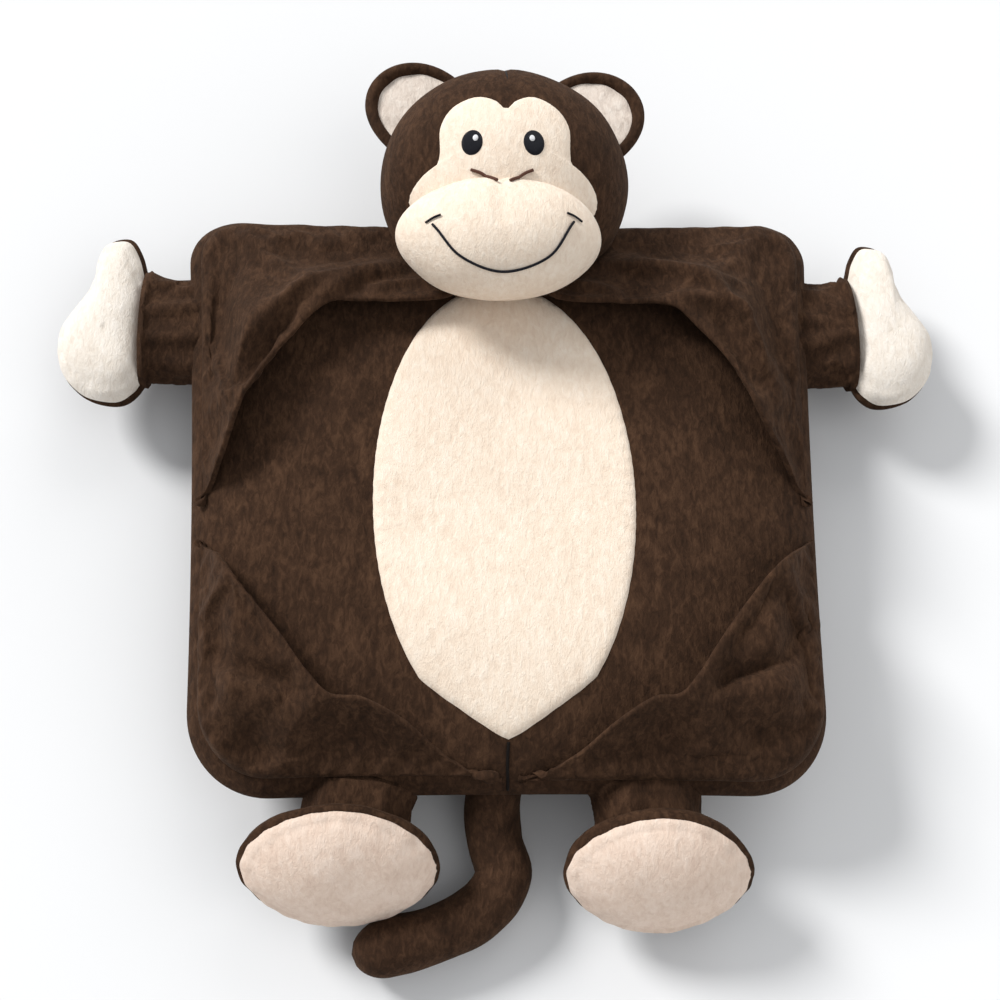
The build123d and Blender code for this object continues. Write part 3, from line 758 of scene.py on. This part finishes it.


# the seam lines are painted shade along the belly's bottom seam and the crown seam
seam("vis_seam_front", [(-2, -125.5), (-2.4, -134), (-2, -144)], front_z, "pillow", 0.7)
CROWN = [(1.6, 168), (1.4, 180), (1.0, 190), (0.8, 196)]
seam("vis_seam_head", CROWN, lambda x, y: head_z(x, y) - 1.1, "head", 0.5)


# ---- ears ---------------------------------------------------------------------------------
def ear(side, angle, body):
    """A round-rimmed double layer with a paler lining set in, its base gathered at the head."""
    hinge = next(j for j in frame["joints"] if j["name"] == "ear_fold_" + side[0])
    base = np.array(hinge["pos_m"]) / MM
    base[2] -= 4.5
    u = np.array([math.cos(math.radians(angle)), math.sin(math.radians(angle)), 0.0])
    v = np.array([-u[1], u[0], 0.0])
    w = np.array([0.0, 0.0, 1.0])

    def place(a, b, c):
        return base + u * a + v * b + w * c

    def outline(t, depth, half):
        """Half an oval, from one end of the base to the other, t from 0 to 1."""
        angle_t = math.pi * (t - 0.5)
        return depth * math.cos(angle_t) ** 0.85, half * math.sin(angle_t)

    rows, count = 18, 60
    verts = []
    for k in range(rows):
        ring = 2 * math.pi * k / rows
        for i in range(count):
            a, b = outline(i / (count - 1), 36.0, 27.5)
            fat = 4.4 * (0.72 + 0.28 * math.cos(math.pi * (i / (count - 1) - 0.5)))
            scale_in = 1 - 0.21 * (1 - math.cos(ring)) / 2
            verts.append(place(a * scale_in - 4.5, b * scale_in, fat * math.sin(ring)))
    rim = build(f"vis_ear_{side}", verts, grid_faces(rows, count, wrap_u=True), BROWN, body,
                (f"ear_back_{side}",), "plush_brown")
    fix_normals(rim)

    def disc(name, mat, nodes, slot, z, deep):
        """The lining or the back: a filled disc inside the rim, bulging away from the ear's middle."""
        way = 1 if z > 0 else -1
        points, faces = [], []
        rings = 10
        for k in range(rings):
            r = 1 - k / rings
            for i in range(count):
                a, b = outline(i / (count - 1), 31.5, 24.0)
                wave = 0.8 * math.sin(i * 0.55) * r ** 2
                height = z + 1.2 * (1 - r ** 2) * way + 0.4 * wave - deep * 0.2
                points.append(place(a * r - 4.2, b * r, height))
        for k in range(rings - 1):
            for i in range(count - 1):
                faces.append((k * count + i, k * count + i + 1, (k + 1) * count + i + 1, (k + 1) * count + i))
        points.append(place(-4.2, 0, z + 1.2 * way))
        last = (rings - 1) * count
        faces += [(last + i, last + i + 1, len(points) - 1) for i in range(count - 1)]
        obj = build(name, points, faces, mat, body, nodes, slot)
        if (obj.data.polygons[0].normal.z > 0) != (z > 0):
            obj.data.flip_normals()

    disc(f"vis_ear_lining_{side}", LINING, (f"ear_inner_{side}",), "ear_lining", 1.0, 2.2)
    disc(f"vis_ear_back_{side}", BROWN, (), "plush_brown", -2.4, -1.0)


ear("left", 131.0, "ear_l")
ear("right", 44.0, "ear_r")


# ---- arms ---------------------------------------------------------------------------------
LIMB_Z = 31.0         # height of the arms' middle line
ARM_Y = 89.0
# The right hand in plan: up its inner side, over the thumb, down the outer side, round the heel.
HAND = ((177, 58), (176.5, 80), (177, 104), (180, 119), (184, 132), (190, 140.5), (199, 140), (204, 131),
        (205.5, 117), (210, 106), (218, 93), (221.5, 80), (218, 64), (208, 52), (195, 46.8), (184, 49))


SLEEVE_SIDES, LEG_SIDES = 64, 56


def end_rings(rings, sides):
    """The points in the two rings at each end of a tube."""
    return list(range(2 * sides)) + list(range((rings - 2) * sides, rings * sides))


def hand(side, key):
    """A mitten of a pale palm and a brown back, and the sleeve that joins it to the pillow."""
    sign = -1 if side == "left" else 1
    line = catmull(list(HAND) + [HAND[0]], 121)[:-1]
    middle = np.array([197.0, 84.0])
    for upper in (True, False):
        rings, count = 20, len(line)
        verts = []
        for k in range(rings):
            r = 1 - k / rings if upper else (0.9 if k == 0 else 1 - (k - 1) / (rings - 1))
            for i, (x0, y0) in enumerate(line):
                inset = 0.965 if upper else 1.0
                x, y = middle + (np.array([x0, y0]) - middle) * r * inset
                puff = (1 - r ** 3.0) ** 0.62 if upper or k else -0.07
                z = LIMB_Z + (14.0 * puff if upper else -14.5 * puff)
                z += 0.5 * math.sin(i * 0.9 + 1.5 * math.sin(i * 0.21)) * r ** 8 + (1.2 if upper else 0.0)
                z += noise.noise(Vector((sign * x, y, z)) / 22.0) * 1.3 * (1 - r ** 2)
                verts.append((sign * (x + (0.9 if upper else -0.3)), y, z))
        verts.append((sign * middle[0], middle[1], LIMB_Z + (15.2 if upper else -14.5)))
        name = f"vis_palm_{side}" if upper else f"vis_hand_back_{side}"
        nodes = (f"palm_{side}", f"hand_stuffing_{side}") if upper else (f"hand_back_{side}",)
        mat, slot = (PALM, "plush_palm") if upper else (BROWN, "plush_brown")
        obj = build(name, verts, disc_faces(rings, count), mat, "arm_" + key, nodes, slot)
        turn_towards(obj, Vector((0, 0, 1 if upper else -1)))
        drape(obj, range(2 * count), 1.3, grow=0.02, frames=12)
    # the sleeve, an oval tube that flares into the side seam
    xs = np.linspace(144, 180, 24)
    path = [(sign * x, ARM_Y, LIMB_Z) for x in xs]
    waist = np.sin(np.pi * (xs - 144) / 36)
    cuff = 1.0 + 0.05 * np.exp(-((xs - 178) / 3.0) ** 2)
    sleeve = tube(f"vis_sleeve_{side}", path, (30.5 - 1.8 * waist) * cuff, BROWN, sides=SLEEVE_SIDES,
                  high=(14.6 - 0.8 * waist) * cuff)
    for v in sleeve.data.vertices:
        p = v.co / MM
        near_seam = math.exp(-((abs(p.x) - 152) / 10) ** 2)
        fold = 0.81 * math.sin(p.y * 0.42 + 1.7 * noise.noise(p / 18)) * near_seam
        v.co.z += fold * MM * (1 if p.z > LIMB_Z else -1)
    drape(sleeve, end_rings(len(path), SLEEVE_SIDES), 3.2, grow=0.07, frames=16)
    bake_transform(sleeve)
    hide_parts(f"sleeve_{side}", f"arm_stuffing_{side}")


hand("left", "l")
hand("right", "r")


# ---- feet ---------------------------------------------------------------------------------
TILT = math.radians(45)
SOLE_UP = np.array([0.0, math.cos(TILT), math.sin(TILT)])
SOLE_OUT = np.array([0.0, -math.sin(TILT), math.cos(TILT)])


def foot(side, key, centre, leg_x, broad):
    """A foot of a pale sole and a brown back, and the leg that joins it to the pillow."""
    centre = np.array(centre)
    for front_side in (True, False):
        rings, count = 22, 110
        verts = []
        for k in range(rings):
            r = 1 - k / rings if front_side else (0.88 if k == 0 else 1 - (k - 1) / (rings - 1))
            for i in range(count):
                a = 2 * math.pi * i / count
                wide = broad * (0.97 if front_side else 1.0)
                high = 31.6 * (0.985 if front_side else 1.0)
                skew = 1 + 0.05 * math.cos(2 * a + 0.6)
                across = np.array([1.0, 0, 0]) * wide * r * math.cos(a) * skew
                p = centre + across + SOLE_UP * high * r * math.sin(a)
                if front_side:
                    depth = 14.5 * (1 - r ** 2.2) ** 0.7 + 1.6
                else:
                    depth = 2.0 - 21.0 * (1 - r ** 2.4) ** 0.6
                if k == 0 and not front_side:
                    depth = 2.6
                depth += 0.5 * math.sin(i * 1.1 + 1.3 * math.sin(i * 0.17)) * r ** 9
                p = p + SOLE_OUT * depth - SOLE_UP * (1.2 if front_side else -0.4)
                p = p + SOLE_OUT * 1.3 * noise.noise(Vector(p) / 26.0) * (1 - r ** 2)
                verts.append(p)
        verts.append(centre + SOLE_OUT * (16.0 if front_side else -19.0))
        name = f"vis_sole_{side}" if front_side else f"vis_foot_{side}"
        nodes = (f"sole_{side}",) if front_side else (f"foot_{side}", f"foot_stuffing_{side}")
        mat, slot = (SOLE, "plush_sole") if front_side else (BROWN, "plush_brown")
        obj = build(name, verts, disc_faces(rings, count), mat, "leg_" + key, nodes, slot)
        turn_towards(obj, Vector(SOLE_OUT if front_side else -SOLE_OUT))
        drape(obj, range(2 * count), 1.3, grow=0.02, frames=12)
    ts = np.linspace(0, 1, 22)
    ys = np.linspace(-140, centre[1] + 6, 22)
    path = [(leg_x + (centre[0] - leg_x) * 0.4 * t, y, 31.0 + 3.0 * t) for t, y in zip(ts, ys)]
    waist = np.sin(np.pi * ts)
    leg = tube(f"vis_leg_{side}", path, 26.5 - 2.2 * waist, BROWN, sides=LEG_SIDES, high=17.5 - 1.2 * waist)
    drape(leg, end_rings(len(path), LEG_SIDES), 3.0, grow=0.06, frames=16)
    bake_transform(leg)


foot("left", "l", (-76.0, -174.5, 37.0), -68.0, 42.3)
foot("right", "r", (64.0, -179.0, 36.0), 61.0, 40.6)


# ---- tail ---------------------------------------------------------------------------------
def tail():
    """A stuffed tube that comes out under the pillow and curls to the left on the floor."""
    line = catmull([(-7, -138, 26), (-8, -150, 20), (-7, -163, 15), (-3.5, -178, 14), (-12, -192, 13.4),
                    (-32, -202.5, 13), (-58, -208.5, 13), (-71, -211, 13)], 90)
    t = np.linspace(0, 1, 90)
    radius = np.maximum(12.7 * np.sqrt(1 - ((t - 0.87) / 0.13).clip(0, 1) ** 2), 0.4)
    obj = tube("vis_tail", line, radius, BROWN, sides=40)
    for v in obj.data.vertices:
        v.co += v.normal * (noise.noise(v.co / MM / 16.0) * 0.9 * MM)
    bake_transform(obj)
    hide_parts("tail_cover", "tail_stuffing")


tail()


# ---- floor, light and camera --------------------------------------------------------------
def studio():
    """A pale floor, an even sky and three soft suns."""
    mat, nodes, links = new_material("floor")
    out = nodes.new("ShaderNodeOutputMaterial")
    bsdf = nodes.new("ShaderNodeBsdfPrincipled")
    bsdf.inputs["Base Color"].default_value = (0.80, 0.80, 0.80, 1)
    bsdf.inputs["Roughness"].default_value = 0.9
    links.new(bsdf.outputs["BSDF"], out.inputs["Surface"])
    mesh = bpy.data.meshes.new("floor")
    mesh.from_pydata([(-4, -4, 0), (4, -4, 0), (4, 4, 0), (-4, 4, 0)], [], [(0, 1, 2, 3)])
    mesh.materials.append(mat)
    floor = bpy.data.objects.new("floor", mesh)
    bpy.context.scene.collection.objects.link(floor)
    world = bpy.data.worlds.new("studio")
    world.use_nodes = True
    world.node_tree.nodes["Background"].inputs["Color"].default_value = (0.95, 0.97, 1.0, 1)
    world.node_tree.nodes["Background"].inputs["Strength"].default_value = 0.5
    bpy.context.scene.world = world
    suns = (("key", (-0.75, 0.60, 0.66), 18, 3.1), ("fill", (0.8, -0.6, 0.9), 60, 0.55),
            ("rim", (0.35, 0.9, 0.6), 35, 0.6))
    for name, at, spread, power in suns:
        light = bpy.data.lights.new(name, "SUN")
        light.angle = math.radians(spread)
        light.energy = power
        lamp = bpy.data.objects.new(name, light)
        lamp.rotation_euler = (-Vector(at)).to_track_quat("-Z", "Y").to_euler()
        bpy.context.scene.collection.objects.link(lamp)


def camera():
    """Above the feet, looking down at the monkey on the floor."""
    data = bpy.data.cameras.new("camera")
    data.lens = 50.0
    data.sensor_width = 36.0
    cam = bpy.data.objects.new("camera", data)
    right = Vector((0.99865526, -0.01805818, 0.04859605))
    up = Vector((-0.0004829, 0.93409265, 0.35703038))
    back_dir = right.cross(up).normalized()
    up = back_dir.cross(right)
    cam.matrix_world = Matrix((
        (right.x, up.x, back_dir.x, -0.03736),
        (right.y, up.y, back_dir.y, -0.24339),
        (right.z, up.z, back_dir.z, 0.66076),
        (0, 0, 0, 1),
    ))
    bpy.context.scene.collection.objects.link(cam)
    bpy.context.scene.camera = cam
    bpy.context.scene.view_settings.view_transform = "Standard"


studio()
camera()
